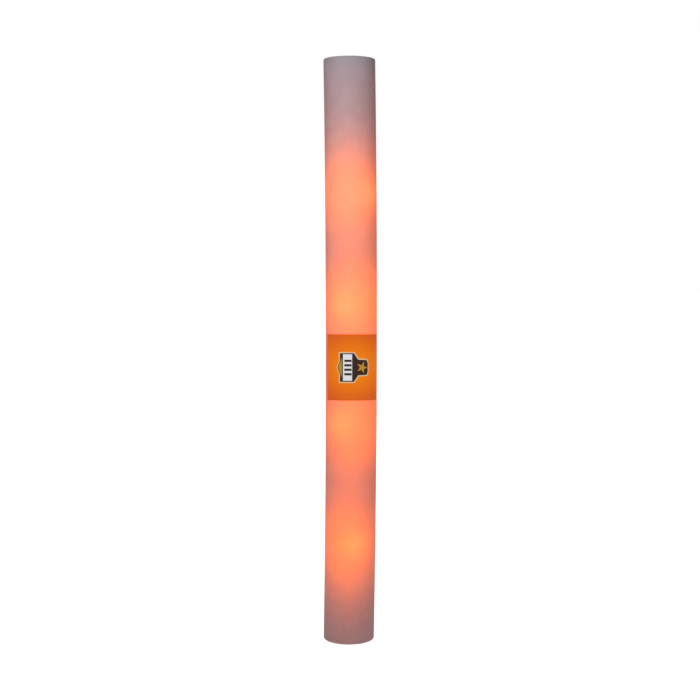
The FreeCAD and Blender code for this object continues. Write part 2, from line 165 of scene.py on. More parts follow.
class PaintedGlowSettings(bpy.types.PropertyGroup):
    """The lamps' glow in the foam, painted on its surface as emission."""

    far_reach: length("Far reach", "How far the faintest glow carries along the foam", 85.0 * MM, MM)
    wide_reach: length("Wide reach", "How far a lamp's broad glow carries along the foam", 32.0 * MM, MM)
    spot_reach: length("Spot reach", "How far a lamp's bright spot spreads", 19.5 * MM, MM)
    core_reach: length("Core reach", "How far the small bright core over a lamp spreads", 6.5 * MM, MM)
    end_fade: length("End fade", "Depth of the faint glow's fade at the button's end", 7.2 * MM, MM)
    far_colour: colour("Far colour", "Colour of the faintest glow", (0.112, 0.0142, 0.0))
    wide_colour: colour("Wide colour", "Colour of the broad glow", (1.0, 0.131, 0.0))
    spot_colour: colour("Spot colour", "Colour that a bright spot adds to the glow", (0.435, 0.0423, 0.0))
    core_colour: colour("Core colour", "Colour that a bright core adds to the glow", (0.2, 0.08, 0.0))
    round_share: share("All-round share", "Part of the broad glow that goes out all round", 0.2)
    rear_share: share("Rear share", "Strength of the broad glow behind against in front", 0.45)
    narrowness: FloatProperty(
        name="Narrowness",
        description="How tightly the broad glow keeps to the front",
        default=2.9,
        min=0.0,
    )
    facing: bearing("Facing", "Azimuth that the broad glow faces", -5.2)
    wide_powers: lamp_values(
        "Wide powers", "Strength of each lamp's broad glow", (0.3, 0.2, 0.43, 0.54)
    )
    spot_powers: lamp_values(
        "Spot powers", "Strength of each lamp's bright spot", (2.03, 2.94, 2.06, 1.67)
    )
    spot_bearings: lamp_values(
        "Spot azimuths", "Where round the foam each spot is", (-5, 17, 20, -12), turned=True
    )


class LabelSettings(bpy.types.PropertyGroup):
    """The printed label and its emblem."""

    centre: colour("Centre colour", "Print colour at the label's middle", (0.85, 0.212, 0.006))
    edge: colour("Edge colour", "Print colour at the label's edges", (0.575, 0.085, 0.015))
    # Painted light: how strongly the print's colour is given again as emission, a painted backlight
    painted_backlight: share("Backlight", "Light that comes through the print", 0.8, 2.0)
    droop: length("Droop", "How far the film's side edges hang lower than its middle", 0.9 * MM)
    emblem_size: length("Emblem size", "Half the emblem's width round the sleeve", 11.7 * MM)
    emblem_turn: bearing("Emblem place", "Azimuth of the emblem's middle", 1.7)
    ink: length("Ink thickness", "Thickness of one layer of ink", 0.02 * MM)
    cream: colour("Cream ink", "Colour of the line round the emblem", (0.85, 0.62, 0.36))
    dark: colour("Dark ink", "Colour of the emblem's ground", (0.05, 0.024, 0.014))
    white: colour("White ink", "Colour of the emblem's banner", (0.72, 0.73, 0.75))
    gold: colour("Gold ink", "Colour of the emblem's star and crescent", (0.6, 0.3, 0.04))


class CoreSettings(bpy.types.PropertyGroup):
    """The light core, its cover and its button."""

    plastic: colour("Moulding colour", "Colour of the case, cover and foot", (0.86, 0.86, 0.84))
    button: colour("Button colour", "Colour of the push button", (0.62, 0.63, 0.64))
    button_print: colour("Button print", "Colour of the sign on the button", (0.09, 0.09, 0.1))
    lamp: colour("Lamp colour", "Colour of a lit lens", (1.0, 0.36, 0.05))
    lamp_strength: FloatProperty(
        name="Lamp strength", description="Brightness of a lit lens", default=3.0, min=0.0
    )
    solder_radius: length("Solder radius", "Radius of a bead of solder on a wire", 0.95 * MM)
    pin_solder_radius: length("Pin solder radius", "Radius of a bead of solder on a pin", 0.55 * MM)


class StageSettings(bpy.types.PropertyGroup):
    """The floor, the lights and the camera."""

    distance: length("Camera distance", "Level distance of the camera from the baton", 904.1 * MM)
    height: length("Camera height", "Height of the camera over the floor", 268.5 * MM)
    side: length("Camera side step", "How far the camera stands to the right", -0.2 * MM, -1.0)
    pitch: bearing("Camera pitch", "Downward tilt", 4.2)
    roll: bearing("Camera roll", "Sideways tilt", -0.06)
    lens: FloatProperty(
        name="Lens", description="Focal length on a 36 mm sensor", default=67.6, min=1.0, unit="CAMERA"
    )
    key_power: watts("Key light", "Power of the soft box beside the top end", 0.307)
    bounce_power: watts("Table bounce", "Power of the light off the table", 0.196)
    rear_power: watts("Rear light", "Power of the soft box behind", 2.5)
    high_power: watts("High light", "Power of the soft box on a drawn-out core", 0.2)
    ambient: share("Ambient light", "Strength of the light from all round", 0.107)
    through: share("Through", "Strength of the surroundings through clear parts", 0.85)
    shine: share("Shine", "Strength of the surroundings in reflections", 0.7)


# ---- Meshes


def new_piece(name, vertices, faces, smooth=True):
    """An object at the origin with the given mesh, its doubles merged and its faces turned outwards."""
    mesh = bpy.data.meshes.new(name)
    mesh.from_pydata(vertices, [], faces)
    shell = bmesh.new()
    shell.from_mesh(mesh)
    bmesh.ops.remove_doubles(shell, verts=shell.verts, dist=MERGE)
    bmesh.ops.recalc_face_normals(shell, faces=shell.faces)
    shell.to_mesh(mesh)
    shell.free()
    mesh.polygons.foreach_set("use_smooth", [smooth] * len(mesh.polygons))
    piece = bpy.data.objects.new(name, mesh)
    bpy.context.scene.collection.objects.link(piece)
    return piece


def wrapped(radius, across, up, turn, height):
    """A point on a drum about Z: across along its girth from a turn, up from a height."""
    angle = turn + across / radius
    return (radius * math.sin(angle), -radius * math.cos(angle), height + up)


def span(start, end, steps):
    """Evenly spaced values from start to end, both included."""
    return [start + (end - start) * i / steps for i in range(steps + 1)]


def grid_faces(rows, columns, close_rows=False, close_columns=False):
    """Quads between neighbouring points of a grid that is stored row by row."""
    faces = []
    for row in range(rows if close_rows else rows - 1):
        here = row * columns
        below = (row + 1) % rows * columns
        for column in range(columns if close_columns else columns - 1):
            beside = (column + 1) % columns
            faces.append((here + column, here + beside, below + beside, below + column))
    return faces


def turned_points(outline, segments):
    """The points of an outline of (radius, height) points, turned round Z from -Y."""
    vertices = []
    for radius, height in outline:
        for step in range(segments):
            vertices.append(wrapped(radius, 0.0, 0.0, math.tau * step / segments, height))
    return vertices


def lathe(name, outline, segments):
    """A closed outline of (radius, height) points, turned round Z."""
    faces = grid_faces(len(outline), segments, close_rows=True, close_columns=True)
    return new_piece(name, turned_points(outline, segments), faces)


def solid_lathe(name, outline, segments):
    """An open outline turned round Z, its two ends closed with a fan."""
    vertices = turned_points(outline, segments)
    faces = grid_faces(len(outline), segments, close_columns=True)
    for row in (0, len(outline) - 1):
        hub = len(vertices)
        vertices.append((0.0, 0.0, outline[row][1]))
        first = row * segments
        faces += [(first + i, first + (i + 1) % segments, hub) for i in range(segments)]
    return new_piece(name, vertices, faces)


def plate(name, place, rows, columns, bottom, top, closed=False):
    """
    A thin closed shell between two lifts. place(row, column, lift) gives its points over a grid,
    whose columns may close on themselves.
    """
    lower = [place(row, column, bottom) for row in range(rows) for column in range(columns)]
    upper = [place(row, column, top) for row in range(rows) for column in range(columns)]
    count = rows * columns
    faces = grid_faces(rows, columns, close_columns=closed)
    faces += [tuple(count + corner for corner in face) for face in faces]
    edge = [list(range(columns)), list(range(count - columns, count))]
    if not closed:
        edge += [list(range(0, count, columns)), list(range(columns - 1, count, columns))]
    for line in edge:
        pairs = list(zip(line, line[1:])) + ([(line[-1], line[0])] if closed else [])
        faces += [(a, b, count + b, count + a) for a, b in pairs]
    return new_piece(name, lower + upper, faces, smooth=False)


def rounded(centre_radius, centre_height, radius, start, end, steps):
    """Points of an arc in the lathe's plane, from one angle to another, in degrees."""
    points = []
    for angle in span(math.radians(start), math.radians(end), steps):
        points.append(
            (centre_radius + radius * math.cos(angle), centre_height + radius * math.sin(angle))
        )
    return points


def without_repeats(outline):
    """The outline without points that repeat the one before."""
    before = outline[-1:] + outline[:-1]
    return [point for point, last in zip(outline, before) if math.dist(point, last) > MERGE]


# ---- Geometry Nodes


# Ripples a metre, across and along the sleeve
RIPPLES = (12.0, 12.0, 110.0)
# The part of the bow that lies behind the axis, at the ends
BOW_REST = 0.5
# A bead's height, in its radii
BEAD_HEIGHT = 0.8
BEAD_SEGMENTS = 14
BEAD_RINGS = 8
RING_SEGMENTS = 72
RING_SECTION = 10


def new_tree(name, inputs):
    """A tree with geometry in and out and named inputs: {name: (socket type, default)}."""
    tree = bpy.data.node_groups.new(name, "GeometryNodeTree")
    tree.interface.new_socket("Geometry", in_out="INPUT", socket_type="NodeSocketGeometry")
    for label, (kind, default) in inputs.items():
        socket = tree.interface.new_socket(label, in_out="INPUT", socket_type=kind)
        if default is not None:
            socket.default_value = default
    tree.interface.new_socket("Geometry", in_out="OUTPUT", socket_type="NodeSocketGeometry")
    return tree, tree.nodes.new("NodeGroupInput").outputs


def add(tree, kind, inputs=None, **settings):
    """A node with its settings. Each input is a value or another node's output."""
    node = tree.nodes.new(kind)
    for name, value in settings.items():
        setattr(node, name, value)
    for key, value in (inputs or {}).items():
        if isinstance(value, bpy.types.NodeSocket):
            tree.links.new(value, node.inputs[key])
        else:
            node.inputs[key].default_value = value
    return node


def calc(tree, operation, *values):
    """The output of a Math node."""
    return add(tree, "ShaderNodeMath", dict(enumerate(values)), operation=operation).outputs[0]


def vector(tree, operation, *values):
    """The output of a Vector Math node that gives a vector."""
    return add(tree, "ShaderNodeVectorMath", dict(enumerate(values)), operation=operation).outputs[0]


def scaled(tree, direction, factor):
    """A direction or a colour times a number."""
    inputs = {0: direction, "Scale": factor}
    return add(tree, "ShaderNodeVectorMath", inputs, operation="SCALE").outputs[0]


def finish_tree(tree, geometry, material):
    """Ends a tree in Realize Instances and Set Material."""
    real = add(tree, "GeometryNodeRealizeInstances", {0: geometry})
    painted = add(tree, "GeometryNodeSetMaterial", {"Geometry": real.outputs[0], "Material": material})
    add(tree, "NodeGroupOutput", {0: painted.outputs[0]})
    return tree


def grow(piece, tree, values):
    """Runs a tree on a piece and leaves the result as plain mesh."""
    modifier = piece.modifiers.new(tree.name, "NODES")
    modifier.node_group = tree
    for item in tree.interface.items_tree:
        if item.in_out == "INPUT" and item.name in values:
            modifier[item.identifier] = values[item.name]
    graph = bpy.context.evaluated_depsgraph_get()
    mesh = bpy.data.meshes.new_from_object(piece.evaluated_get(graph), depsgraph=graph)
    piece.modifiers.clear()
    piece.data = mesh
    mesh.name = piece.name
    return piece


def foam_tree():
    """Dents a skin between its foam cells, ripples it along its length, and bows it towards +X."""
    tree, given = new_tree(
        "Foam surface",
        {
            "Length": ("NodeSocketFloat", 0.4),
            "Bow": ("NodeSocketFloat", 0.0),
            "Relief": ("NodeSocketFloat", 0.0),
            "Cell size": ("NodeSocketFloat", MM),
            "Ripple": ("NodeSocketFloat", 0.0),
            "Seed": ("NodeSocketInt", 0),
            "Material": ("NodeSocketMaterial", None),
        },
    )
    place = tree.nodes.new("GeometryNodeInputPosition").outputs[0]
    normal = tree.nodes.new("GeometryNodeInputNormal").outputs[0]
    cells = add(
        tree,
        "ShaderNodeTexVoronoi",
        {"Vector": place, "W": given["Seed"], "Scale": calc(tree, "DIVIDE", 1.0, given["Cell size"])},
        voronoi_dimensions="4D",
        feature="SMOOTH_F1",
    ).outputs["Distance"]
    height = add(tree, "ShaderNodeSeparateXYZ", {0: place}).outputs["Z"]
    waves = add(
        tree,
        "ShaderNodeTexNoise",
        {
            "Vector": vector(tree, "MULTIPLY", place, RIPPLES),
            "W": given["Seed"],
            "Scale": 1.0,
            "Detail": 2.0,
        },
        noise_dimensions="4D",
    ).outputs[0]
    depth = calc(tree, "MULTIPLY", cells, given["Relief"])
    depth = calc(tree, "ADD", depth, calc(tree, "MULTIPLY", waves, given["Ripple"]))
    inwards = scaled(tree, normal, calc(tree, "MULTIPLY", depth, -1.0))
    dented = add(tree, "GeometryNodeSetPosition", {"Geometry": given["Geometry"], "Offset": inwards})
    level = calc(tree, "DIVIDE", height, given["Length"])
    arch = calc(tree, "MULTIPLY", calc(tree, "MULTIPLY", level, 4.0), calc(tree, "SUBTRACT", 1.0, level))
    aside = calc(tree, "MULTIPLY", calc(tree, "SUBTRACT", arch, BOW_REST), given["Bow"])
    sideways = add(tree, "ShaderNodeCombineXYZ", {"X": aside}).outputs[0]
    bowed = add(tree, "GeometryNodeSetPosition", {"Geometry": dented.outputs[0], "Offset": sideways})
    return finish_tree(tree, bowed.outputs[0], given["Material"])


def bead_tree():
    """Sets a flattened bead of solder on every point, along the point's own facing."""
    tree, given = new_tree(
        "Solder beads",
        {
            "Radius": ("NodeSocketFloat", MM),
            "Height": ("NodeSocketFloat", MM),
            "Material": ("NodeSocketMaterial", None),
        },
    )
    ball = add(
        tree, "GeometryNodeMeshUVSphere", {"Segments": BEAD_SEGMENTS, "Rings": BEAD_RINGS, "Radius": 1.0}
    )
    facing = add(tree, "GeometryNodeInputNamedAttribute", {"Name": "facing"}, data_type="FLOAT_VECTOR")
    turn = add(tree, "FunctionNodeAlignRotationToVector", {"Vector": facing.outputs[0]}, axis="Z")
    size = add(
        tree, "ShaderNodeCombineXYZ", {"X": given["Radius"], "Y": given["Radius"], "Z": given["Height"]}
    )
    beads = add(
        tree,
        "GeometryNodeInstanceOnPoints",
        {
            "Points": given["Geometry"],
            "Instance": ball.outputs["Mesh"],
            "Rotation": turn.outputs[0],
            "Scale": size.outputs[0],
        },
    )
    soft = add(tree, "GeometryNodeSetShadeSmooth", {0: beads.outputs[0]})
    return finish_tree(tree, soft.outputs[0], given["Material"])


def ring_tree():
    """Sets a round-section ring about Z on every point."""
    tree, given = new_tree(
        "Rings",
        {
            "Radius": ("NodeSocketFloat", MM),
            "Thickness": ("NodeSocketFloat", MM),
            "Material": ("NodeSocketMaterial", None),
        },
    )
    circle = "GeometryNodeCurvePrimitiveCircle"
    path = add(tree, circle, {"Resolution": RING_SEGMENTS, "Radius": given["Radius"]})
    section = add(tree, circle, {"Resolution": RING_SECTION, "Radius": given["Thickness"]})
    ring = add(
        tree, "GeometryNodeCurveToMesh", {"Curve": path.outputs[0], "Profile Curve": section.outputs[0]}
    )
    rings = add(
        tree, "GeometryNodeInstanceOnPoints", {"Points": given["Geometry"], "Instance": ring.outputs[0]}
    )
    return finish_tree(tree, rings.outputs[0], given["Material"])


# ---- Materials


# The foam's cells: how dark their edges are, and how wide the dark edges and the dents are
CELL_EDGE = (0.94, 0.94, 0.94)
CELL_EDGE_WIDTH = 0.25
CELL_DENT_WIDTH = 0.35
SKIN_CHANGE = 0.08
# The strength of a painted glow spot above which the foam's base colour loses no more blue: painted warm
# light
BRIGHTEST_PAINTED_SPOT = 1.2
# The print's lighter middle: how much less wide than high it is, its reach, and its colour stops
MIDDLE_WIDTH = 0.75
MIDDLE_REACH = 0.6
MIDDLE_STOPS = (0.15, 0.6, 1.0)


def new_material(name, **sockets):
    """A material with one Principled shader; sockets are values for the shader's own inputs."""
    material = bpy.data.materials.new(name)
    material.use_nodes = True
    tree = material.node_tree
    tree.nodes.clear()
    shader = tree.nodes.new("ShaderNodeBsdfPrincipled")
    add(tree, "ShaderNodeOutputMaterial", {"Surface": shader.outputs[0]})
    for key, value in sockets.items():
        shader.inputs[key.replace("_", " ")].default_value = value
    return material, tree, shader


def surface_point(tree):
    """The point on the piece, in metres from the origin."""
    return tree.nodes.new("ShaderNodeTexCoord").outputs["Object"]


def part_of(tree, point, axis):
    """One coordinate of a point."""
    return add(tree, "ShaderNodeSeparateXYZ", {0: point}).outputs[axis]


def noise(tree, size, detail=3.0, stretch=(1.0, 1.0, 1.0)):
    """Noise whose features are about as wide as size, wider along an axis with a large stretch."""
    point = add(
        tree,
        "ShaderNodeMapping",
        {"Vector": surface_point(tree), "Scale": [1.0 / (size * factor) for factor in stretch]},
    )
    return add(
        tree, "ShaderNodeTexNoise", {"Vector": point.outputs[0], "Scale": 1.0, "Detail": detail}
    ).outputs[0]


def ramp(tree, value, stops):
    """A colour ramp through (position, colour) stops."""
    stops = list(stops)
    node = add(tree, "ShaderNodeValToRGB", {0: value})
    elements = node.color_ramp.elements
    while len(elements) < len(stops):
        elements.new(1.0)
    for element, (position, tone) in zip(elements, stops):
        element.position = position
        element.color = (*tone, 1.0)
    return node.outputs[0]


def shaded(tone, factor):
    """A tone made darker or lighter."""
    return tuple(min(1.0, part * factor) for part in tone)


def blotched(tree, value, dark, light):
    """A base colour that goes softly from one tone to another as a value rises."""
    return ramp(tree, value, [(0.3, dark), (0.7, light)])


def mottled(tree, value, tone, low, high):
    """A base colour that wanders between a darker and a lighter shade of one tone."""
    return blotched(tree, value, shaded(tone, low), shaded(tone, high))


def vary(tree, shader, key, value, low, high):
    """Drives one of the shader's numbers by a value from 0 to 1."""
    mapped = add(tree, "ShaderNodeMapRange", {"Value": value, "To Min": low, "To Max": high})
    tree.links.new(mapped.outputs[0], shader.inputs[key])


def emboss(tree, shader, height, depth, strength=1.0):
    """Bump from a height of 0 to 1 that stands for a depth in metres."""
    bump = add(tree, "ShaderNodeBump", {"Height": height, "Distance": depth, "Strength": strength})
    tree.links.new(bump.outputs[0], shader.inputs["Normal"])


def bell(tree, point, centre, reach):
    """A Gaussian of the distance from a centre."""
    away = add(tree, "ShaderNodeVectorMath", {0: point, 1: centre}, operation="DISTANCE").outputs["Value"]
    squared = calc(tree, "MULTIPLY", away, away)
    return calc(tree, "EXPONENT", calc(tree, "MULTIPLY", squared, -0.5 / reach**2))


def total(tree, values):
    """The sum of several outputs."""
    result = values[0]
    for value in values[1:]:
        result = calc(tree, "ADD", result, value)
    return result


def foam_material(foam, glow):
    """Closed-cell foam, with the lamps' glow from inside painted on as emission."""
    material, tree, shader = new_material(
        "foam with painted glow", Specular_IOR_Level=0.08, Sheen_Weight=0.05, Sheen_Roughness=0.6, Emission_Strength=1.0
    )
    point = surface_point(tree)
    cells = edges(tree, foam.cell)
    fine = noise(tree, size=0.35 * MM, detail=4.0)
    tone = mottled(tree, noise(tree, size=9.0 * MM), foam.colour, 0.95, 1.04)
    wall = ramp(tree, cells, [(0.0, CELL_EDGE), (CELL_EDGE_WIDTH, WHITE)])
    spots = painted_glow_spots(tree, point, foam, glow)
    # Painted light: the base colour loses blue where the painted glow spots are bright
    painted_spot_blue = calc(tree, "MULTIPLY_ADD", calc(tree, "MINIMUM", spots, BRIGHTEST_PAINTED_SPOT), -foam.painted_spot_tint, 1.0)
    painted_spot_tint_colour = add(tree, "ShaderNodeCombineXYZ", {"X": 1.0, "Y": 1.0, "Z": painted_spot_blue}).outputs[0]
    base = vector(tree, "MULTIPLY", vector(tree, "MULTIPLY", tone, wall), painted_spot_tint_colour)
    tree.links.new(base, shader.inputs["Base Color"])
    vary(tree, shader, "Roughness", fine, foam.roughness - SKIN_CHANGE, foam.roughness + SKIN_CHANGE)
    relief = calc(tree, "ADD", ramp(tree, cells, [(0.0, BLACK), (CELL_DENT_WIDTH, WHITE)]), fine)
    emboss(tree, shader, relief, depth=0.05 * MM, strength=0.7)
    # Painted light: the lamps' glow, set as emission by its distance from each lamp
    light = vector(tree, "MULTIPLY", painted_glow_light(tree, point, foam, glow, spots), wall)
    tree.links.new(light, shader.inputs["Emission Color"])
    return material


def edges(tree, size):
    """The distance to the nearest edge of cells of a size, as a share of it."""
    inputs = {"Vector": surface_point(tree), "Scale": 1.0 / size}
    return add(tree, "ShaderNodeTexVoronoi", inputs, feature="DISTANCE_TO_EDGE").outputs["Distance"]


def painted_glow_spots(tree, point, foam, glow):
    """The summed strength of the lamps' painted bright spots at a point."""
    spots = []
    for lamp, turn, power in zip(LAMPS, glow.spot_bearings, glow.spot_powers):
        centre = wrapped(foam.radius, 0.0, 0.0, turn, lamp.z)
        spots.append(calc(tree, "MULTIPLY", bell(tree, point, centre, glow.spot_reach), power))
    return total(tree, spots)


def painted_glow_light(tree, point, foam, glow, spots):
    """The lamps' painted glow on the foam at a point: faint, broad, in spots and in small cores."""
    height = part_of(tree, point, "Z")
    wide = []
    far = []
    cores = []
    for lamp, power in zip(LAMPS, glow.wide_powers):
        wide.append(along(tree, height, lamp.z, glow.wide_reach, power))
        far.append(along(tree, height, lamp.z, glow.far_reach, 1.0))
        centre = wrapped(foam.radius, 0.0, 0.0, math.atan2(lamp.x, -lamp.y), lamp.z)
        cores.append(bell(tree, point, centre, glow.core_reach))
    share_out = painted_glow_sides(tree, point, foam, glow)
    depth = calc(tree, "DIVIDE", calc(tree, "SUBTRACT", height, foam.length + MM), glow.end_fade)
    fade = calc(tree, "SUBTRACT", 1.0, calc(tree, "EXPONENT", depth))
    parts = [
        (total(tree, cores), glow.core_colour),
        (calc(tree, "MULTIPLY", total(tree, wide), share_out), glow.wide_colour),
        (calc(tree, "MULTIPLY", total(tree, far), fade), glow.far_colour),
        (spots, glow.spot_colour),
    ]
    light = BLACK
    for value, tint in parts:
        light = vector(tree, "ADD", light, scaled(tree, tuple(tint), value))
    return light


def painted_glow_sides(tree, point, foam, glow):
    """The share of the painted broad glow on each side of the foam."""
    ahead = wrapped(1.0 / foam.radius, 0.0, 0.0, glow.facing, 0.0)
    cosine = add(tree, "ShaderNodeVectorMath", {0: point, 1: ahead}, operation="DOT_PRODUCT")
    cosine = cosine.outputs["Value"]
    front = spread(tree, cosine, glow.narrowness)
    rear = spread(tree, calc(tree, "MULTIPLY", cosine, -1.0), glow.narrowness)
    sides = calc(tree, "ADD", front, calc(tree, "MULTIPLY", rear, glow.rear_share))
    return calc(tree, "MULTIPLY_ADD", sides, 1.0 - glow.round_share, glow.round_share)


def spread(tree, cosine, narrowness):
    """How strong the broad glow is at a cosine of the angle from where it faces."""
    return calc(tree, "EXPONENT", calc(tree, "MULTIPLY", calc(tree, "SUBTRACT", cosine, 1.0), narrowness))


def along(tree, height, centre, reach, power):
    """A Gaussian of the height over a centre, times a power."""
    away = calc(tree, "SUBTRACT", height, centre)
    squared = calc(tree, "MULTIPLY", away, away)
    curve = calc(tree, "EXPONENT", calc(tree, "MULTIPLY", squared, -0.5 / reach**2))
    return calc(tree, "MULTIPLY", curve, power)


def print_material(label, foam):
    """Printed film, lighter in the middle, with a painted backlight: its print colour given again as
    emission.
    """
    material, tree, shader = new_material(
        "orange print", Roughness=0.5, Specular_IOR_Level=0.04, Emission_Strength=label.painted_backlight
    )
    parts = add(tree, "ShaderNodeSeparateXYZ", {0: surface_point(tree)}).outputs
    turn = calc(tree, "ARCTAN2", parts["X"], calc(tree, "MULTIPLY", parts["Y"], -1.0))
    turn = calc(tree, "SUBTRACT", turn, sum(label_edges()) / 2)
    across = calc(tree, "MULTIPLY", calc(tree, "MULTIPLY", turn, foam.radius), MIDDLE_WIDTH)
    up = calc(tree, "SUBTRACT", parts["Z"], LABEL_CENTRE)
    away = add(tree, "ShaderNodeCombineXYZ", {"X": across, "Y": up}).outputs[0]
    away = add(tree, "ShaderNodeVectorMath", {0: away}, operation="LENGTH").outputs["Value"]
    away = calc(tree, "DIVIDE", away, LABEL_HEIGHT * MIDDLE_REACH)
    between = tuple((a + b) / 2 for a, b in zip(label.centre, label.edge))
    tone = ramp(tree, away, zip(MIDDLE_STOPS, (label.centre, between, label.edge)))
    tree.links.new(tone, shader.inputs["Base Color"])
    tree.links.new(tone, shader.inputs["Emission Color"])
    emboss(tree, shader, noise(tree, size=2.5 * MM, detail=2.0), depth=0.06 * MM, strength=0.5)
    return material


def ink_material(name, tone, painted_backlight):
    """One flat ink over the print, slightly mottled, with a painted backlight given as emission."""
    material, tree, shader = new_material(
        name, Roughness=0.5, Specular_IOR_Level=0.2, Emission_Strength=painted_backlight
    )
    blotches = mottled(tree, noise(tree, size=0.6 * MM), tone, 0.95, 1.03)
    tree.links.new(blotches, shader.inputs["Base Color"])
    tree.links.new(blotches, shader.inputs["Emission Color"])
    emboss(tree, shader, noise(tree, size=2.5 * MM, detail=2.0), depth=0.04 * MM, strength=0.4)
    return material


def moulded_material(name, tone, roughness, grain=0.02 * MM):
    """Moulded plastic: a fine spark-eroded grain, and patches that are a little more worn."""
    material, tree, shader = new_material(name, Specular_IOR_Level=0.5)
    worn = noise(tree, size=4.0 * MM)
    tree.links.new(mottled(tree, worn, tone, 0.96, 1.02), shader.inputs["Base Color"])
    vary(tree, shader, "Roughness", worn, roughness - 0.07, roughness + 0.07)
    emboss(tree, shader, noise(tree, size=0.25 * MM, detail=2.0), depth=grain, strength=0.5)
    return material


def metal_material(name, tone, roughness, stretch=(1.0, 1.0, 1.0)):
    """Plated metal with faint draw marks and a patchy shine."""
    material, tree, shader = new_material(name, Metallic=1.0)
    marks = noise(tree, size=0.3 * MM, stretch=stretch)
    tree.links.new(mottled(tree, noise(tree, size=2.0 * MM), tone, 0.9, 1.0), shader.inputs["Base Color"])
    vary(tree, shader, "Roughness", marks, roughness - 0.08, roughness + 0.12)
    emboss(tree, shader, marks, depth=0.006 * MM, strength=0.5)
    return material


def clear_material():
    """Clear extruded plastic with faint die lines along its length."""
    material, tree, shader = new_material(
        "clear tube plastic", Transmission_Weight=1.0, IOR=1.5, Base_Color=(*CLEAR_TINT, 1.0)
    )
    lines = noise(tree, size=0.8 * MM, detail=2.0, stretch=(1.0, 1.0, 60.0))
    vary(tree, shader, "Roughness", lines, 0.03, 0.12)
    emboss(tree, shader, lines, depth=0.02 * MM, strength=0.5)
    return material


def board_material():
    """Green solder resist over copper tracks, which show through as paler lines."""
    material, tree, shader = new_material("green resist", Coat_Weight=0.4, Roughness=0.35)
    tracks = edges(tree, 2.2 * MM)
    tone = ramp(tree, tracks, [(0.05, GREEN_TRACK), (0.08, GREEN_RESIST)])
    tree.links.new(tone, shader.inputs["Base Color"])
    emboss(tree, shader, tracks, depth=0.02 * MM, strength=0.3)
    return material


def lamp_board_material():
    """White solder resist on a board whose cut ends show its glass fibre."""
    material, tree, shader = new_material("white resist", Coat_Weight=0.3, Roughness=0.35)
    normal = tree.nodes.new("ShaderNodeNewGeometry").outputs["Normal"]
    cut = calc(tree, "GREATER_THAN", calc(tree, "ABSOLUTE", part_of(tree, normal, "Z")), 0.5)
    resist = blotched(tree, noise(tree, size=1.5 * MM), *WHITE_RESIST)
    tree.links.new(either(tree, cut, resist, GLASS_FIBRE), shader.inputs["Base Color"])
    emboss(tree, shader, noise(tree, size=0.5 * MM), depth=0.01 * MM, strength=0.4)
    return material


def either(tree, switch, off, on):
    """One colour where a switch is 0, and another where it is 1."""
    mixed = add(tree, "ShaderNodeMix", {"Factor": switch}, data_type="RGBA")
    first, second = [socket for socket in mixed.inputs if socket.type == "RGBA"]
    tree.links.new(off, first)
    second.default_value = (*on, 1.0)
    return next(socket for socket in mixed.outputs if socket.type == "RGBA")


def lens_material(core):
    """Amber resin with a bright chip in its middle."""
    material, tree, shader = new_material(
        "lit amber lens",
        Roughness=0.12,
        Coat_Weight=0.5,
        Base_Color=(*core.lamp, 1.0),
        Emission_Strength=core.lamp_strength,
    )
    point = surface_point(tree)
    chips = total(tree, [bell(tree, point, lamp, 1.1 * MM) for lamp in LAMPS])
    tone = ramp(tree, chips, [(0.2, core.lamp), (0.75, LENS_GLOW), (1.0, LENS_CHIP)])
    tree.links.new(tone, shader.inputs["Emission Color"])
    return material


def housing_material(core):
    """White reflector plastic, with a painted glow of the lens's light given as emission."""
    material, tree, shader = new_material(
        "lamp housing", Roughness=0.4, Emission_Color=(*core.lamp, 1.0), Emission_Strength=0.25
    )
    tone = blotched(tree, noise(tree, size=0.8 * MM), *HOUSING_WHITE)
    tree.links.new(tone, shader.inputs["Base Color"])
    return material


def banded_material(name, tone, axis, centre, half):
    """A small electronic part: its body's tone in a band along one axis, and tinned metal outside it."""
    material, tree, shader = new_material(name, Roughness=0.4)
    value = calc(tree, "ABSOLUTE", part_of(tree, surface_point(tree), axis))
    away = calc(tree, "ABSOLUTE", calc(tree, "SUBTRACT", value, centre))
    outside = calc(tree, "GREATER_THAN", away, half)
    body = mottled(tree, noise(tree, size=0.3 * MM), tone, 0.8, 1.2)
    tree.links.new(either(tree, outside, body, PIN_TIN), shader.inputs["Base Color"])
    tree.links.new(outside, shader.inputs["Metallic"])
    return material


def paint(material, *names):
    """Gives CAD nodes a material."""
    for name in names:
        NODES[name].data.materials.clear()
        NODES[name].data.materials.append(material)


# ---- Pieces


def foam_values(foam, material, relief=1.0):
    """The foam tree's inputs, with the relief and ripple scaled."""
    return {
        "Length": foam.length,
        "Bow": foam.bow,
        "Relief": foam.relief * relief,
        "Cell size": foam.cell,
        "Ripple": foam.ripple * relief,
        "Seed": foam.seed,
        "Material": material,
    }


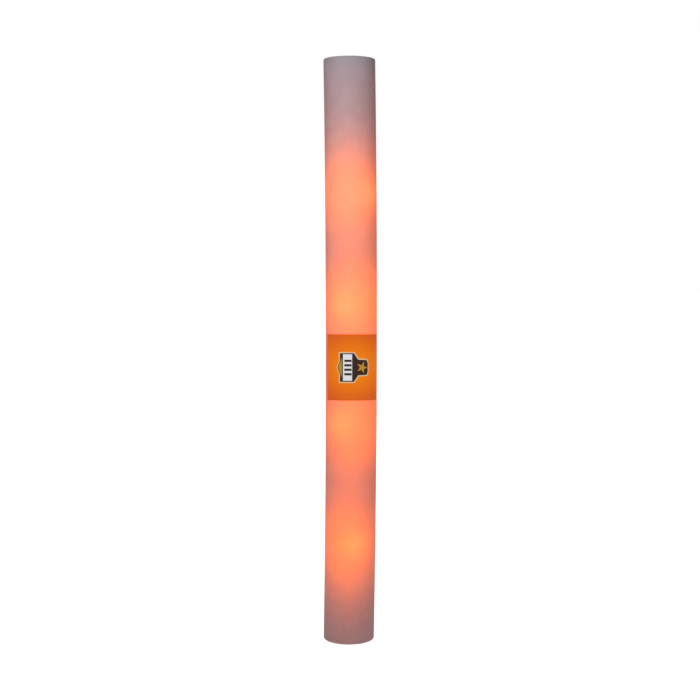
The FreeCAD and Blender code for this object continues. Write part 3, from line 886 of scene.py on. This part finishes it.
class BATON_OT_foam_sleeve(bpy.types.Operator):
    """Build the foam sleeve, with its cells, its ripples and its slight bow"""

    bl_idname = "baton.foam_sleeve"
    bl_label = "Foam Sleeve"

    SEGMENTS = 176
    WALL_STEPS = 430
    FACE_STEPS = 12
    BORE_STEPS = 8
    EDGE = 0.35 * MM
    EDGE_STEPS = 3
    RIM_STEPS = 6

    def face(self, foam, height, way):
        """One end of the outline, from the bore out to the rim."""
        low = height - way * self.EDGE
        turn = 90 * way
        inner = foam.bore + self.EDGE
        outer = foam.radius - foam.rim
        points = rounded(inner, low, self.EDGE, 180 * way, turn, self.EDGE_STEPS)
        points += [(radius, height) for radius in span(inner, outer, self.FACE_STEPS)]
        return points + rounded(outer, height - way * foam.rim, foam.rim, turn, 0, self.RIM_STEPS)

    def execute(self, context):
        foam = context.scene.baton_foam
        material = foam_material(foam, context.scene.baton_glow)
        bottom = self.face(foam, 0.0, -1)
        top = self.face(foam, foam.length, 1)
        wall = [(foam.radius, z) for z in span(foam.rim, foam.length - foam.rim, self.WALL_STEPS)]
        bore = [(foam.bore, z) for z in span(foam.length - self.EDGE, self.EDGE, self.BORE_STEPS)]
        outline = without_repeats(bottom + wall + top[::-1] + bore)
        sleeve = lathe("foam_skin", outline, self.SEGMENTS)
        grow(sleeve, foam_tree(), foam_values(foam, material))
        straighten_bore(sleeve, foam)
        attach(sleeve, "sleeve")
        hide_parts("foam_sleeve")
        return {"FINISHED"}


def straighten_bore(sleeve, foam):
    """Puts the bore's wall back on its true straight cylinder, which the light core slides in."""
    reach = (foam.bore + foam.radius) / 2
    for vertex in sleeve.data.vertices:
        point = vertex.co
        level = point.z / foam.length
        aside = foam.bow * (4 * level * (1 - level) - BOW_REST)
        radius = math.hypot(point.x - aside, point.y)
        if radius < reach:
            keep = max(0.0, (radius - foam.bore) / (reach - foam.bore))
            point.x -= aside * (1 - keep)


class BATON_OT_foam_plug(bpy.types.Operator):
    """Build the foam plug in the plain end"""

    bl_idname = "baton.foam_plug"
    bl_label = "Foam Plug"

    SEGMENTS = 72
    STEPS = 10
    EDGE = 0.6 * MM
    EDGE_STEPS = 4
    HUB = 0.15 * MM

    def execute(self, context):
        foam = context.scene.baton_foam
        material = foam_material(foam, context.scene.baton_glow)
        outer = PLUG_HIGH.x - self.EDGE
        low = [(radius, PLUG_LOW.z) for radius in span(self.HUB, outer, self.STEPS)]
        high = [(radius, PLUG_HIGH.z) for radius in span(outer, self.HUB, self.STEPS)]
        side = rounded(outer, PLUG_LOW.z + self.EDGE, self.EDGE, -90, 0, self.EDGE_STEPS)
        side += rounded(outer, PLUG_HIGH.z - self.EDGE, self.EDGE, 0, 90, self.EDGE_STEPS)
        outline = without_repeats(low + side + high)
        plug = solid_lathe("foam_end_plug", outline, self.SEGMENTS)
        grow(plug, foam_tree(), {**foam_values(foam, material), "Bow": 0.0, "Ripple": 0.0})
        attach(plug, "sleeve")
        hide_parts("foam_plug")
        return {"FINISHED"}


class BATON_OT_front_label(bpy.types.Operator):
    """Build the printed label and its emblem, a crest with a banner, bars, a crescent and a star"""

    bl_idname = "baton.front_label"
    bl_label = "Front Label"

    FILM = 0.12 * MM
    FILM_ROWS = 40
    FILM_COLUMNS = 61
    ROWS = 9
    STEP = 0.04
    # The sizes below are in half widths of the emblem, which lies on its side
    STAR_STEPS = 60
    STAR_HUB = 0.02
    POINTS = 5
    STAR_CENTRE = 0.6
    STAR_RADIUS = 0.37
    BARS = (-0.39, -0.13, 0.13, 0.39)
    BAR_ENDS = (-0.46, -0.03)
    BAR_HALF = 0.065
    # Each outline is symmetrical: (place round the sleeve, half height there)
    EDGE = ((-0.97, 0), (-0.8, 0.35), (-0.8, 0.9), (0.14, 0.9), (0.4, 0.52), (0.94, 0.5), (1.04, 0.3))
    GROUND = ((-0.9, 0), (-0.73, 0.36), (-0.73, 0.83), (0.1, 0.83))
    GROUND += ((0.36, 0.45), (0.9, 0.43), (0.98, 0.26))
    CRESCENT = ((-0.85, 0), (-0.74, 0.22), (-0.6, 0.6))
    BANNER = ((-0.54, 0.77), (0.0, 0.77))

    def film(self):
        """The printed film, as wide and high as its CAD node."""
        outer = -LABEL_LOW.y
        left, right = label_edges()
        rows = span(LABEL_LOW.z, LABEL_HIGH.z, self.FILM_ROWS - 1)
        columns = span(left, right, self.FILM_COLUMNS - 1)

        def place(row, column, lift):
            return self.hung(wrapped(outer + lift, 0.0, 0.0, columns[column], rows[row]), right)

        return plate("printed_label", place, self.FILM_ROWS, self.FILM_COLUMNS, -self.FILM, 0.0)

    def hung(self, point, turn):
        """The point, lowered as the film droops towards its side edges."""
        x, y, z = point
        return (x, y, z - self.droop * (1 + y / math.hypot(x, y)) / (1 - math.cos(turn)))

    def knots(self, outline):
        """The outline's knots, with more of them wherever they are far apart."""
        result = [outline[0]]
        for before, after in zip(outline, outline[1:]):
            steps = max(1, math.ceil((after[0] - before[0]) / self.STEP))
            for step in range(1, steps + 1):
                result.append([a + (b - a) * step / steps for a, b in zip(before, after)])
        return result

    def patch(self, name, outline, level, material, middle=0.0):
        """A patch of ink inside an outline, its middle line at a height over the emblem's."""
        knots = self.knots(outline)

        def place(row, column, lift):
            across, half = knots[column]
            up = middle - half + 2 * half * row / (self.ROWS - 1)
            return self.on_label(across, up, lift)

        return self.inked(plate(name, place, self.ROWS, len(knots), 0.0, level * self.ink), material)

    def star(self, name, level, material):
        """A star of ink with its first point towards +X."""
        half = math.pi / self.POINTS
        notch = self.STAR_RADIUS * math.cos(2 * half) / math.cos(half)

        def reach(angle):
            local = abs((angle + half) % (2 * half) - half)
            x = notch * math.cos(half) - self.STAR_RADIUS
            y = notch * math.sin(half)
            return self.STAR_RADIUS * y / (y * math.cos(local) - x * math.sin(local))

        def place(row, column, lift):
            angle = math.tau * column / self.STAR_STEPS
            radius = reach(angle) * (row + self.STAR_HUB) / (self.ROWS - 1 + self.STAR_HUB)
            across = self.STAR_CENTRE + radius * math.cos(angle)
            return self.on_label(across, radius * math.sin(angle), lift)

        star = plate(name, place, self.ROWS, self.STAR_STEPS, 0.0, level * self.ink, closed=True)
        return self.inked(star, material)

    def on_label(self, across, up, lift):
        """A point over the label, from a place in the emblem."""
        drum = -LABEL_LOW.y + lift
        point = wrapped(drum, across * self.size, up * self.size, self.turn, LABEL_CENTRE)
        return self.hung(point, label_edges()[1])

    def inked(self, piece, material):
        """The piece, bowed with the sleeve, in its material."""
        grow(piece, self.tree, {**self.values, "Material": material})
        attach(piece, "sleeve")
        return piece

    def execute(self, context):
        foam = context.scene.baton_foam
        label = context.scene.baton_label
        self.tree = foam_tree()
        self.values = foam_values(foam, None, relief=0.0)
        self.size = label.emblem_size
        self.turn = label.emblem_turn
        self.ink = label.ink
        self.droop = label.droop
        film = self.inked(self.film(), print_material(label, foam))
        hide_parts("front_label")
        cream = ink_material("cream ink", label.cream, painted_backlight=0.5)
        white = ink_material("white ink", label.white, painted_backlight=0.7)
        dark = ink_material("dark ink", label.dark, painted_backlight=0.3)
        gold = ink_material("gold ink", label.gold, painted_backlight=0.5)
        self.patch("emblem_edge", self.EDGE, 1, cream)
        self.patch("emblem_ground", self.GROUND, 2, dark)
        self.patch("emblem_crescent", self.CRESCENT, 3, gold)
        self.patch("emblem_banner", self.BANNER, 3, white)
        bar = [(end, self.BAR_HALF) for end in self.BAR_ENDS]
        for index, middle in enumerate(self.BARS):
            self.patch(f"emblem_bar_{index + 1}", bar, 4, dark, middle)
        self.star("emblem_star", 3, gold)
        return {"FINISHED"}


def label_edges():
    """The azimuths of the label's two upright edges."""
    turns = [math.atan2(v.co.x, -v.co.y) for v in NODES["front_label"].data.vertices]
    return min(turns), max(turns)


class BATON_OT_mouldings(bpy.types.Operator):
    """Finish the case, cover, foot and button, and print the sign on the button"""

    bl_idname = "baton.mouldings"
    bl_label = "Mouldings"

    STEPS = 48
    SIGN_RADIUS = 1.75 * MM
    SIGN_LINE = 0.36 * MM
    SIGN_GAP = math.radians(38)
    BAR_STEPS = 8
    BAR_ENDS = (0.25, 1.2)
    DISH_RADIUS = 3.3 * MM
    DISH = 0.3 * MM
    INK = 0.025 * MM

    def dish(self, x, y, lift):
        """A point over the button's dished top."""
        ball = (self.DISH_RADIUS**2 + self.DISH**2) / (2 * self.DISH)
        drop = ball - math.sqrt(ball**2 - x * x - y * y)
        return (x, y, BUTTON_TOP - self.DISH + drop + lift)

    def sign(self, material):
        """An open ring and a bar, the usual sign for on and off."""
        turns = span(self.SIGN_GAP, math.tau - self.SIGN_GAP, self.STEPS)
        ends = span(*self.BAR_ENDS, self.BAR_STEPS)

        def ring(row, column, lift):
            angle = turns[column]
            radius = self.SIGN_RADIUS + self.SIGN_LINE * (row - 0.5)
            return self.dish(radius * math.sin(angle), radius * math.cos(angle), lift)

        def bar(row, column, lift):
            x = self.SIGN_LINE * (row - 0.5)
            return self.dish(x, self.SIGN_RADIUS * ends[column], lift)

        pieces = [
            plate("button_sign_ring", ring, 2, self.STEPS + 1, -self.INK, self.INK),
            plate("button_sign_bar", bar, 2, self.BAR_STEPS + 1, -self.INK, self.INK),
        ]
        for piece in pieces:
            piece.data.materials.append(material)
            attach(piece, "button")

    def execute(self, context):
        core = context.scene.baton_core
        white = moulded_material("white moulding", core.plastic, roughness=0.42)
        paint(white, "battery_case", "end_cover", "tube_foot")
        smooth = moulded_material("button moulding", core.button, roughness=0.34, grain=0.01 * MM)
        paint(smooth, "push_button")
        self.sign(ink_material("button print", core.button_print, painted_backlight=0.0))
        return {"FINISHED"}


class BATON_OT_clear_tube(bpy.types.Operator):
    """Finish the clear tube"""

    bl_idname = "baton.clear_tube"
    bl_label = "Clear Tube"

    def execute(self, context):
        paint(clear_material(), "clear_tube")
        return {"FINISHED"}


class BATON_OT_battery(bpy.types.Operator):
    """Finish the button cells, springs and contact strips, and add the cells' gaskets"""

    bl_idname = "baton.battery"
    bl_label = "Battery"

    GASKET_RADIUS = 5.0 * MM
    GASKET_THICKNESS = 0.2 * MM
    CAP = 0.5 * MM

    def execute(self, context):
        paint(metal_material("cell steel", CELL_STEEL, roughness=0.24), *CELL_NAMES)
        nickel = metal_material("nickel plate", NICKEL, roughness=0.2, stretch=(1.0, 1.0, 8.0))
        paint(nickel, "negative_spring", "positive_spring", "output_strip", "ground_strip")
        seats = [(0.0, 0.0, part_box(name)[0].z + self.CAP) for name in CELL_NAMES]
        gaskets = new_piece("cell_gaskets", seats, [])
        values = {
            "Radius": self.GASKET_RADIUS,
            "Thickness": self.GASKET_THICKNESS,
            "Material": moulded_material("gasket nylon", GASKET_NYLON, roughness=0.5),
        }
        grow(gaskets, ring_tree(), values)
        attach(gaskets, "light_core")
        return {"FINISHED"}


def solder(name, body, places, radius, material):
    """Flattened beads of solder at (place, facing) pairs, riding on one body."""
    beads = new_piece(name, [place for place, facing in places], [])
    facing = beads.data.attributes.new("facing", "FLOAT_VECTOR", "POINT")
    for item, (place, way) in zip(facing.data, places):
        item.vector = way
    grow(beads, bead_tree(), {"Radius": radius, "Height": radius * BEAD_HEIGHT, "Material": material})
    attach(beads, body)


class BATON_OT_switch_board(bpy.types.Operator):
    """Finish the circuit board, its switch and its small parts, and solder the switch's pins"""

    bl_idname = "baton.switch_board"
    bl_label = "Switch Board"

    PRESS = 0.3 * MM
    CHIP_BODY_HALF = 0.71 * MM
    RESISTOR_PLACE = 1.3 * MM
    RESISTOR_BODY_HALF = 0.5 * MM
    PIN_INSET_X = 0.15 * MM
    PIN_INSET_Y = 0.35 * MM

    def dome(self, steel):
        """The snap dome, a copy of its CAD node that rides on the cover."""
        source = NODES["switch_dome"].data
        corners = [tuple(vertex.co) for vertex in source.vertices]
        dome = new_piece("snap_dome", corners, [tuple(face.vertices) for face in source.polygons])
        dome.data.materials.append(steel)
        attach(dome, "cover")
        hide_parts("switch_dome")
        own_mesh(dome)

    def execute(self, context):
        core = context.scene.baton_core
        steel = metal_material("zinc plate", ZINC, roughness=0.3)
        paint(steel, "switch_frame", "switch_pins", "cover_screws")
        self.dome(steel)
        black = moulded_material("black moulding", SWITCH_BLACK, roughness=0.45)
        paint(black, "switch_base", "switch_plunger")
        paint(board_material(), "circuit_board")
        low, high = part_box("driver_chip")
        chip = banded_material("chip", CHIP_BLACK, "Y", (low.y + high.y) / 2, self.CHIP_BODY_HALF)
        paint(chip, "driver_chip")
        resistor = banded_material(
            "resistor", RESISTOR_BLACK, "X", self.RESISTOR_PLACE, self.RESISTOR_BODY_HALF
        )
        paint(resistor, "chip_resistors")
        x = PINS_HIGH.x - self.PIN_INSET_X
        y = PINS_HIGH.y - self.PIN_INSET_Y
        down = (0.0, 0.0, -1.0)
        places = [((i * x, j * y, BOARD_BOTTOM), down) for i in (-1, 1) for j in (-1, 1)]
        tin = metal_material("pin tin", PIN_TIN, roughness=0.25)
        solder("pin_solder", "cover", places, core.pin_solder_radius, tin)
        return {"FINISHED"}


class BATON_OT_light_string(bpy.types.Operator):
    """Finish the lamps and their wires, and solder the wires on"""

    bl_idname = "baton.light_string"
    bl_label = "Light String"

    PAD_SIDE = 2.6 * MM
    PAD_LEVEL = 3.2 * MM
    BOARD_BACK = 0.5 * MM
    TAIL_LEVEL = 1.9 * MM
    TAIL_SIDE = 4.2 * MM

    def pads(self):
        """Where wires are soldered to the back of each lamp's board, and which way that faces."""
        places = []
        for index, lamp in enumerate(LAMPS):
            ahead = Vector((lamp.x, lamp.y, 0.0)).normalized()
            beside = Vector((-ahead.y, ahead.x, 0.0))
            levels = (1, -1) if index < LAMP_COUNT - 1 else (1,)
            for side in (-1, 1):
                for level in levels:
                    place = -ahead * self.BOARD_BACK + beside * side * self.PAD_SIDE
                    place.z = lamp.z + level * self.PAD_LEVEL
                    places.append((place, -ahead))
        return places

    def execute(self, context):
        core = context.scene.baton_core
        lamps = range(1, LAMP_COUNT + 1)
        paint(lamp_board_material(), *(f"led_board_{i}" for i in lamps))
        paint(housing_material(core), *(f"led_body_{i}" for i in lamps))
        paint(lens_material(core), *(f"led_lens_{i}" for i in lamps))
        paint(moulded_material("red insulation", RED_INSULATION, roughness=0.4), "positive_wires")
        paint(moulded_material("black insulation", BLACK_INSULATION, roughness=0.4), "negative_wires")
        tails = []
        for side in (-1, 1):
            place = (0.0, side * self.TAIL_SIDE, STRIP_BOTTOM + self.TAIL_LEVEL)
            tails.append((place, (0.0, -side, 0.0)))
        tin = metal_material("wire tin", WIRE_TIN, roughness=0.25)
        solder("wire_solder", "light_core", self.pads() + tails, core.solder_radius, tin)
        return {"FINISHED"}


# ---- Stage


def soft_box(name, place, aim, side, power, beam=180.0):
    """A square area light aimed at a point, its beam in degrees, unseen even through clear parts."""
    light = bpy.data.lights.new(name, "AREA")
    light.size = side
    light.energy = power
    light.spread = math.radians(beam)
    lamp = bpy.data.objects.new(name, light)
    lamp.location = place
    lamp.rotation_euler = (Vector(aim) - Vector(place)).to_track_quat("-Z", "Y").to_euler()
    lamp.visible_camera = False
    lamp.visible_transmission = False
    bpy.context.scene.collection.objects.link(lamp)


def floor_material():
    """A pale lit floor, on which only the contact shadow shows."""
    sockets = {
        "Roughness": 0.9,
        "Base_Color": (*FLOOR_GREY, 1.0),
        "Emission_Color": (*WHITE, 1.0),
        "Emission_Strength": 0.94,
    }
    return new_material("pale floor", **sockets)[0]


class BATON_OT_stage(bpy.types.Operator):
    """Set the floor, the soft lights, the white surroundings and the camera"""

    bl_idname = "baton.stage"
    bl_label = "Stage"

    FLOOR_RADIUS = 8.0
    FLOOR_SIDES = 64
    FLOOR_DROP = 0.05 * MM
    BOUNCE_LIFT = 0.5 * MM
    # Levels of the two front lights, in lengths of the sleeve
    KEY_LEVEL = 1.1
    HIGH_LEVEL = 2.2
    SENSOR_WIDTH = 36.0
    NEAREST = 10.0 * MM

    def floor(self):
        """A round floor, just under the baton, that lights nothing."""
        turns = span(0.0, math.tau, self.FLOOR_SIDES)[:-1]
        ring = [wrapped(self.FLOOR_RADIUS, 0.0, 0.0, turn, -self.FLOOR_DROP) for turn in turns]
        floor = new_piece("floor", ring, [tuple(range(self.FLOOR_SIDES))])
        floor.data.materials.append(floor_material())
        floor.visible_diffuse = False
        floor.visible_glossy = False

    def lights(self, stage):
        """The box at the top end, the table's bounce, the box behind and one for a drawn-out core."""
        key = SLEEVE_HIGH.z * self.KEY_LEVEL
        high = SLEEVE_HIGH.z * self.HIGH_LEVEL
        soft_box(
            "key_box",
            place=(-0.06, -0.26, key),
            aim=(0.0, 0.0, key),
            side=0.25,
            power=stage.key_power,
        )
        soft_box(
            "table_bounce",
            place=(0.0, 0.0, self.BOUNCE_LIFT),
            aim=(0.0, 0.0, 1.0),
            side=0.6,
            power=stage.bounce_power,
        )
        soft_box(
            "rear_box",
            place=(0.1, 0.8, 0.7),
            aim=(0.0, 0.0, 0.2),
            side=0.6,
            power=stage.rear_power,
        )
        soft_box(
            "high_box",
            place=(-0.3, -0.7, high),
            aim=(0.0, 0.0, high),
            side=0.2,
            power=stage.high_power,
            beam=30.0,
        )

    def execute(self, context):
        scene = context.scene
        stage = scene.baton_stage
        self.floor()
        self.lights(stage)
        self.surround(scene, stage)
        self.camera(scene, stage)
        scene.view_settings.view_transform = "Standard"
        return {"FINISHED"}

    def surround(self, scene, stage):
        """White to the camera and through clear parts, less so in reflections, and dim as a light."""
        world = bpy.data.worlds.new("surround")
        world.use_nodes = True
        tree = world.node_tree
        tree.nodes.clear()
        ray = tree.nodes.new("ShaderNodeLightPath").outputs
        shine = calc(tree, "MULTIPLY", ray["Is Glossy Ray"], stage.shine)
        clear = calc(tree, "MULTIPLY", ray["Is Transmission Ray"], stage.through)
        seen = calc(tree, "MAXIMUM", calc(tree, "MAXIMUM", ray["Is Camera Ray"], clear), shine)
        strength = add(
            tree, "ShaderNodeMapRange", {"Value": seen, "To Min": stage.ambient, "To Max": 1.0}
        )
        sky = add(
            tree, "ShaderNodeBackground", {"Color": (*WHITE, 1.0), "Strength": strength.outputs[0]}
        )
        add(tree, "ShaderNodeOutputWorld", {"Surface": sky.outputs[0]})
        scene.world = world

    def camera(self, scene, stage):
        """The camera, in front of the baton and tilted down at it."""
        data = bpy.data.cameras.new("camera")
        data.lens = stage.lens
        data.sensor_width = self.SENSOR_WIDTH
        data.clip_start = self.NEAREST
        camera = bpy.data.objects.new("camera", data)
        camera.location = (stage.side, -stage.distance, stage.height)
        camera.rotation_euler = (math.pi / 2 - stage.pitch, stage.roll, 0.0)
        scene.collection.objects.link(camera)
        scene.camera = camera


# ---- Add-on


SETTINGS = {
    "baton_foam": FoamSettings,
    "baton_glow": PaintedGlowSettings,
    "baton_label": LabelSettings,
    "baton_core": CoreSettings,
    "baton_stage": StageSettings,
}
OPERATORS = (
    BATON_OT_foam_sleeve,
    BATON_OT_foam_plug,
    BATON_OT_front_label,
    BATON_OT_mouldings,
    BATON_OT_clear_tube,
    BATON_OT_battery,
    BATON_OT_switch_board,
    BATON_OT_light_string,
    BATON_OT_stage,
)


class BATON_PT_panel(bpy.types.Panel):
    """The baton's pieces and their settings"""

    bl_idname = "BATON_PT_panel"
    bl_label = "Light-up Foam Baton"
    bl_space_type = "VIEW_3D"
    bl_region_type = "UI"
    bl_category = SIDEBAR

    def draw(self, context):
        for operator in OPERATORS:
            self.layout.operator(operator.bl_idname)
        for name in SETTINGS:
            settings = getattr(context.scene, name)
            box = self.layout.box()
            box.label(text=settings.bl_rna.description)
            for key in settings.bl_rna.properties.keys():
                if key not in ("rna_type", "name"):
                    box.prop(settings, key)


def register():
    for group in SETTINGS.values():
        bpy.utils.register_class(group)
    for name, group in SETTINGS.items():
        setattr(bpy.types.Scene, name, PointerProperty(type=group))
    for item in (*OPERATORS, BATON_PT_panel):
        bpy.utils.register_class(item)


def unregister():
    for item in (BATON_PT_panel, *reversed(OPERATORS)):
        bpy.utils.unregister_class(item)
    for name, group in SETTINGS.items():
        delattr(bpy.types.Scene, name)
        bpy.utils.unregister_class(group)


def main():
    register()
    bpy.ops.baton.foam_sleeve()
    bpy.ops.baton.foam_plug()
    bpy.ops.baton.front_label()
    bpy.ops.baton.mouldings()
    bpy.ops.baton.clear_tube()
    bpy.ops.baton.battery()
    bpy.ops.baton.switch_board()
    bpy.ops.baton.light_string()
    bpy.ops.baton.stage()


if __name__ == "__main__":
    main()
